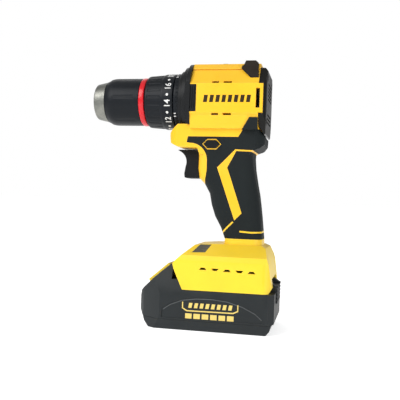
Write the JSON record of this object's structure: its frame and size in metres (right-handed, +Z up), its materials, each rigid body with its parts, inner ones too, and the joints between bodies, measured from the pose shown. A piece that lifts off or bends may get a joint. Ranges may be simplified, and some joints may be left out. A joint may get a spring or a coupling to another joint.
{
  "type": "cordless drill driver",
  "caption": "Pistol-grip cordless drill driver with keyless chuck, numbered torque ring, speed and direction selectors, trigger and slide-on battery.",
  "frame": {"origin": "on the surface the battery stands on, under the centre of the bounding box", "axes": "+Z up, -X the way the chuck points, Y = 0 is the plane between the housing halves"},
  "size_m": [0.1736, 0.076, 0.2348],
  "materials": {
    "yellow_shell": "fine moulded texture",
    "grip_rubber": "matt thermoplastic rubber",
    "black_plastic": "satin nylon",
    "chuck_plastic": "satin blue-black nylon",
    "red_plastic": "glossy",
    "pack_plastic": "satin charcoal nylon",
    "latch_yellow": "satin",
    "case_screw_steel": "blackened",
    "bare_steel": "turned and bead blasted",
    "gear_steel": "sintered and oiled",
    "bearing_steel": "ground",
    "spring_steel": "drawn wire",
    "die_cast_alloy": "as cast",
    "stator_steel": "laminated",
    "copper": "enamelled wire",
    "board_green": "solder mask",
    "wire_jacket": "silicone",
    "clear_lens": "clear moulded",
    "gauge_plastic": "tinted window",
    "cell_wrap": "shrink wrapped"
  },
  "bodies": {
    "root_housing": {"left_housing": "yellow_shell", "right_housing": "yellow_shell", "left_overmold": "grip_rubber", "right_overmold": "grip_rubber", "rear_cap": "black_plastic", "top_bumper": "grip_rubber", "front_collar": "black_plastic", "case_screws": "case_screw_steel", "worklight_lens": "clear_lens", "gauge_window": "gauge_plastic", "trigger_switch": "black_plastic", "trigger_spring": "spring_steel", "controller_board": "board_green", "battery_terminals": "black_plastic", "wire_bundle": "wire_jacket", "stator_core": "stator_steel", "stator_windings": "copper", "ball_bearings": "bearing_steel", "motor_plate": "die_cast_alloy", "gear_case": "die_cast_alloy", "clutch_ring_gear": "gear_steel", "clutch_balls": "bearing_steel", "clutch_washer": "gear_steel", "clutch_spring": "spring_steel"},
    "spindle": {"spindle": "gear_steel", "output_carrier": "gear_steel", "chuck_body": "bare_steel"},
    "sleeve": {"chuck_sleeve": "chuck_plastic", "chuck_ring": "red_plastic", "chuck_nut": "bare_steel"},
    "jaw_1": {"jaw_1": "bare_steel"},
    "jaw_2": {"jaw_2": "bare_steel"},
    "jaw_3": {"jaw_3": "bare_steel"},
    "carrier_2": {"carrier_2": "gear_steel"},
    "carrier_1": {"carrier_1": "gear_steel"},
    "rotor": {"rotor": "stator_steel", "pinion": "gear_steel", "fan": "black_plastic"},
    "torque_ring": {"torque_ring": "chuck_plastic"},
    "clutch_nut": {"clutch_nut": "gear_steel"},
    "mode_ring": {"mode_ring": "chuck_plastic"},
    "speed_selector": {"speed_selector": "black_plastic", "shift_fork": "spring_steel", "shift_ring_gear": "gear_steel"},
    "trigger": {"trigger": "black_plastic"},
    "direction_selector": {"direction_selector": "black_plastic"},
    "battery": {"battery_top_case": "pack_plastic", "battery_bottom_case": "pack_plastic", "battery_cells": "cell_wrap", "battery_board": "board_green"},
    "battery_latch": {"battery_latch": "latch_yellow"},
    "stage_1_planet_1": {"stage_1_planet_1": "gear_steel"},
    "stage_1_planet_2": {"stage_1_planet_2": "gear_steel"},
    "stage_1_planet_3": {"stage_1_planet_3": "gear_steel"},
    "stage_2_planet_1": {"stage_2_planet_1": "gear_steel"},
    "stage_2_planet_2": {"stage_2_planet_2": "gear_steel"},
    "stage_2_planet_3": {"stage_2_planet_3": "gear_steel"},
    "stage_3_planet_1": {"stage_3_planet_1": "gear_steel"},
    "stage_3_planet_2": {"stage_3_planet_2": "gear_steel"},
    "stage_3_planet_3": {"stage_3_planet_3": "gear_steel"}
  },
  "joints": [
    {"name": "spindle_spin", "type": "hinge", "parent": "root_housing", "child": "spindle", "pos_m": [0, 0, 0.2005], "axis": [1, 0, 0], "continuous": true},
    {"name": "carrier_2_spin", "type": "hinge", "parent": "root_housing", "child": "carrier_2", "pos_m": [0, 0, 0.2005], "axis": [1, 0, 0], "continuous": true},
    {"name": "carrier_1_spin", "type": "hinge", "parent": "root_housing", "child": "carrier_1", "pos_m": [0, 0, 0.2005], "axis": [1, 0, 0], "continuous": true},
    {"name": "rotor_spin", "type": "hinge", "parent": "root_housing", "child": "rotor", "pos_m": [0, 0, 0.2005], "axis": [1, 0, 0], "continuous": true},
    {"name": "sleeve_turn", "type": "hinge", "parent": "spindle", "child": "sleeve", "pos_m": [0, 0, 0.2005], "axis": [1, 0, 0], "range_deg": [-1270, 2965]},
    {"name": "torque_turn", "type": "hinge", "parent": "root_housing", "child": "torque_ring", "pos_m": [0, 0, 0.2005], "axis": [1, 0, 0], "range_deg": [-20, 320]},
    {"name": "clutch_nut_slide", "type": "slide", "parent": "torque_ring", "child": "clutch_nut", "axis": [1, 0, 0], "range_m": [-0.00043, 0.00681], "deforming": ["clutch_spring"]},
    {"name": "mode_turn", "type": "hinge", "parent": "root_housing", "child": "mode_ring", "pos_m": [0, 0, 0.2005], "axis": [1, 0, 0], "range_deg": [-35, 35]},
    {"name": "speed_slide", "type": "slide", "parent": "root_housing", "child": "speed_selector", "axis": [1, 0, 0], "range_m": [0, 0.004]},
    {"name": "trigger_pull", "type": "slide", "parent": "root_housing", "child": "trigger", "axis": [1, 0, 0], "range_m": [0, 0.008], "stiffness_N_per_m": 900, "springref_m": -0.003, "deforming": ["trigger_spring"]},
    {"name": "direction_slide", "type": "slide", "parent": "root_housing", "child": "direction_selector", "axis": [0, 1, 0], "range_m": [-0.003, 0.003]},
    {"name": "battery_slide", "type": "slide", "parent": "root_housing", "child": "battery", "axis": [-1, 0, 0], "range_m": [0, 0.08]},
    {"name": "latch_press", "type": "slide", "parent": "battery", "child": "battery_latch", "axis": [0.655, 0, -0.7556], "range_m": [0, 0.0025], "stiffness_N_per_m": 1500, "springref_m": -0.002},
    {"name": "stage_3_planet_1_spin", "type": "hinge", "parent": "spindle", "child": "stage_3_planet_1", "pos_m": [0, 0, 0.2137], "axis": [1, 0, 0], "continuous": true},
    {"name": "stage_3_planet_2_spin", "type": "hinge", "parent": "spindle", "child": "stage_3_planet_2", "pos_m": [0, -0.01143, 0.1939], "axis": [1, 0, 0], "continuous": true},
    {"name": "stage_3_planet_3_spin", "type": "hinge", "parent": "spindle", "child": "stage_3_planet_3", "pos_m": [0, 0.01143, 0.1939], "axis": [1, 0, 0], "continuous": true},
    {"name": "stage_2_planet_1_spin", "type": "hinge", "parent": "carrier_2", "child": "stage_2_planet_1", "pos_m": [0, 0, 0.2125], "axis": [1, 0, 0], "continuous": true},
    {"name": "stage_2_planet_2_spin", "type": "hinge", "parent": "carrier_2", "child": "stage_2_planet_2", "pos_m": [0, -0.01039, 0.1945], "axis": [1, 0, 0], "continuous": true},
    {"name": "stage_2_planet_3_spin", "type": "hinge", "parent": "carrier_2", "child": "stage_2_planet_3", "pos_m": [0, 0.01039, 0.1945], "axis": [1, 0, 0], "continuous": true},
    {"name": "stage_1_planet_1_spin", "type": "hinge", "parent": "carrier_1", "child": "stage_1_planet_1", "pos_m": [0, 0, 0.2125], "axis": [1, 0, 0], "continuous": true},
    {"name": "stage_1_planet_2_spin", "type": "hinge", "parent": "carrier_1", "child": "stage_1_planet_2", "pos_m": [0, -0.01039, 0.1945], "axis": [1, 0, 0], "continuous": true},
    {"name": "stage_1_planet_3_spin", "type": "hinge", "parent": "carrier_1", "child": "stage_1_planet_3", "pos_m": [0, 0.01039, 0.1945], "axis": [1, 0, 0], "continuous": true},
    {"name": "jaw_1_slide", "type": "slide", "parent": "spindle", "child": "jaw_1", "axis": [-0.9636, 0, -0.2672], "range_m": [-0.00562, 0.01311]},
    {"name": "jaw_2_slide", "type": "slide", "parent": "spindle", "child": "jaw_2", "axis": [-0.9636, 0.2314, 0.1336], "range_m": [-0.00562, 0.01311]},
    {"name": "jaw_3_slide", "type": "slide", "parent": "spindle", "child": "jaw_3", "axis": [-0.9636, -0.2314, 0.1336], "range_m": [-0.00562, 0.01311]}
  ],
  "couplings": [
    {"joint": "carrier_2_spin", "follows": "spindle_spin", "ratio": 3.1429},
    {"joint": "carrier_1_spin", "follows": "spindle_spin", "ratio": 12.571},
    {"joint": "rotor_spin", "follows": "spindle_spin", "ratio": 50.286},
    {"joint": "clutch_nut_slide", "follows": "torque_turn", "m_per_rad": 0.0012175},
    {"joint": "stage_3_planet_1_spin", "follows": "spindle_spin", "ratio": -3.75},
    {"joint": "stage_3_planet_2_spin", "follows": "spindle_spin", "ratio": -3.75},
    {"joint": "stage_3_planet_3_spin", "follows": "spindle_spin", "ratio": -3.75},
    {"joint": "stage_2_planet_1_spin", "follows": "spindle_spin", "ratio": -9.4286},
    {"joint": "stage_2_planet_2_spin", "follows": "spindle_spin", "ratio": -9.4286},
    {"joint": "stage_2_planet_3_spin", "follows": "spindle_spin", "ratio": -9.4286},
    {"joint": "stage_1_planet_1_spin", "follows": "spindle_spin", "ratio": -37.714},
    {"joint": "stage_1_planet_2_spin", "follows": "spindle_spin", "ratio": -37.714},
    {"joint": "stage_1_planet_3_spin", "follows": "spindle_spin", "ratio": -37.714},
    {"joint": "jaw_1_slide", "follows": "sleeve_turn", "m_per_rad": 0.00025306},
    {"joint": "jaw_2_slide", "follows": "sleeve_turn", "m_per_rad": 0.00025306},
    {"joint": "jaw_3_slide", "follows": "sleeve_turn", "m_per_rad": 0.00025306}
  ]
}
